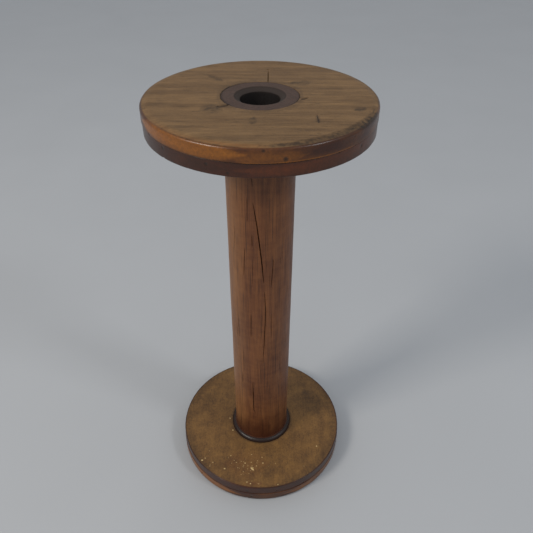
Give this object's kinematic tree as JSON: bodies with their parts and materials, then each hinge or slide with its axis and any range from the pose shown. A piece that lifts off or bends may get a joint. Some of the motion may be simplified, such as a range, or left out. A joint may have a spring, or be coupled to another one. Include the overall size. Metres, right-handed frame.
{
  "type": "wooden bobbin",
  "caption": "Tall turned wooden bobbin: a round barrel with a through bore between two wide flat flanges of crossed plies.",
  "frame": {"origin": "centre of the flat outer face of the flange that the bobbin stands on", "axes": "+Z along the bore, from the flange it stands on towards the other flange; +X and +Y lie in the resting face"},
  "size_m": [0.1016, 0.1016, 0.2318],
  "materials": {
    "barrel_wood": "worn satin varnish over turned hardwood",
    "outer_ply_wood": "worn varnish, dull on the face and glossy on the rim",
    "inner_ply_wood": "worn varnish, dull on the face and satin on the rim"
  },
  "bodies": {
    "root": {"barrel": "barrel_wood", "bottom_outer_ply": "outer_ply_wood", "bottom_inner_ply": "inner_ply_wood", "top_inner_ply": "inner_ply_wood", "top_outer_ply": "outer_ply_wood"}
  },
  "joints": []
}
